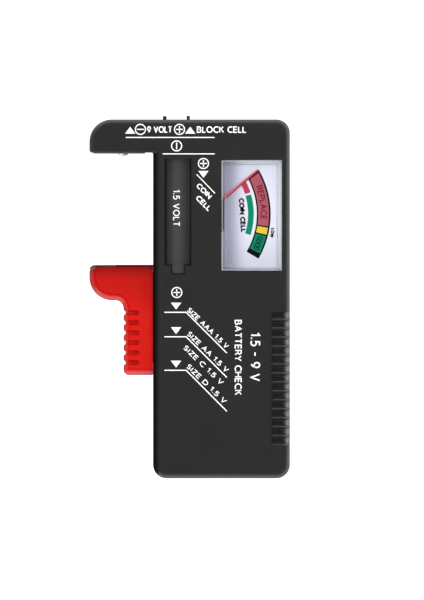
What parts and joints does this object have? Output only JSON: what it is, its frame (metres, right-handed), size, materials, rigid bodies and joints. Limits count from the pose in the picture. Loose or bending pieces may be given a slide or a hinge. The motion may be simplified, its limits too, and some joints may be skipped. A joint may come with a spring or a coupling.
{
  "type": "battery tester",
  "caption": "Hand-held analogue battery tester: two-part black case, fixed jaw, red sliding jaw and a needle meter behind a clear window.",
  "frame": {"origin": "centre of the case's flat back", "axes": "+Z out of the front face, +Y towards the fixed jaw and the 9 V contacts, +X towards the ribbed grip side"},
  "size_m": [0.0593, 0.1071, 0.025],
  "materials": {
    "black_abs": "fine-grained moulded black ABS",
    "red_abs": "satin moulded red ABS",
    "nickel_plate": "bright nickel-plated strip",
    "steel": "blackened steel",
    "brass": "plain brass",
    "clear_lens": "clear polystyrene, polished",
    "dial_print": "white card-coloured plate with a printed scale",
    "pointer_red": "red painted aluminium needle",
    "copper_winding": "enamelled copper wire",
    "board_green": "green solder mask",
    "resistor_body": "lacquered resistor body",
    "black_insulation": "black PVC insulation",
    "red_insulation": "red PVC insulation"
  },
  "bodies": {
    "case": {"front_shell": "black_abs", "rear_shell": "black_abs", "case_screw_1": "steel", "case_screw_2": "steel", "case_screw_3": "steel", "case_screw_4": "steel", "arm_contact": "nickel_plate", "nine_volt_positive_pin": "nickel_plate", "nine_volt_negative_pin": "nickel_plate", "contact_rail": "brass", "meter_lens": "clear_lens", "dial_plate": "dial_print", "meter_case": "black_abs", "meter_terminal_positive": "brass", "meter_terminal_negative": "brass", "core_magnet": "steel", "yoke_ring": "steel", "core_spacer_1": "brass", "core_spacer_2": "brass", "movement_pillar_1": "brass", "movement_pillar_2": "brass", "lower_bridge": "brass", "upper_bridge": "brass", "lower_jewel_screw": "brass", "upper_jewel_screw": "brass", "lower_hairspring": "brass", "upper_hairspring": "brass", "circuit_board": "board_green", "resistor_1": "resistor_body", "resistor_2": "resistor_body", "resistor_3": "resistor_body", "arm_lead": "black_insulation", "negative_pin_lead": "black_insulation", "positive_pin_lead": "red_insulation", "rail_lead": "red_insulation", "meter_positive_lead": "red_insulation", "meter_negative_lead": "black_insulation"},
    "slider": {"slider_body": "red_abs", "slider_contact": "nickel_plate"},
    "pointer_movement": {"pointer": "pointer_red", "moving_coil": "copper_winding", "upper_staff": "steel", "lower_staff": "steel"}
  },
  "joints": [
    {"name": "slider_slide", "type": "slide", "parent": "case", "child": "slider", "axis": [0, 1, 0], "range_m": [-0.0303, 0.0318]},
    {"name": "pointer_swing", "type": "hinge", "parent": "case", "child": "pointer_movement", "pos_m": [-0.0049, 0.025, 0.0173], "axis": [0, 0, 1], "range_deg": [-80, 0], "stiffness_Nm_per_rad": 0.000015}
  ]
}
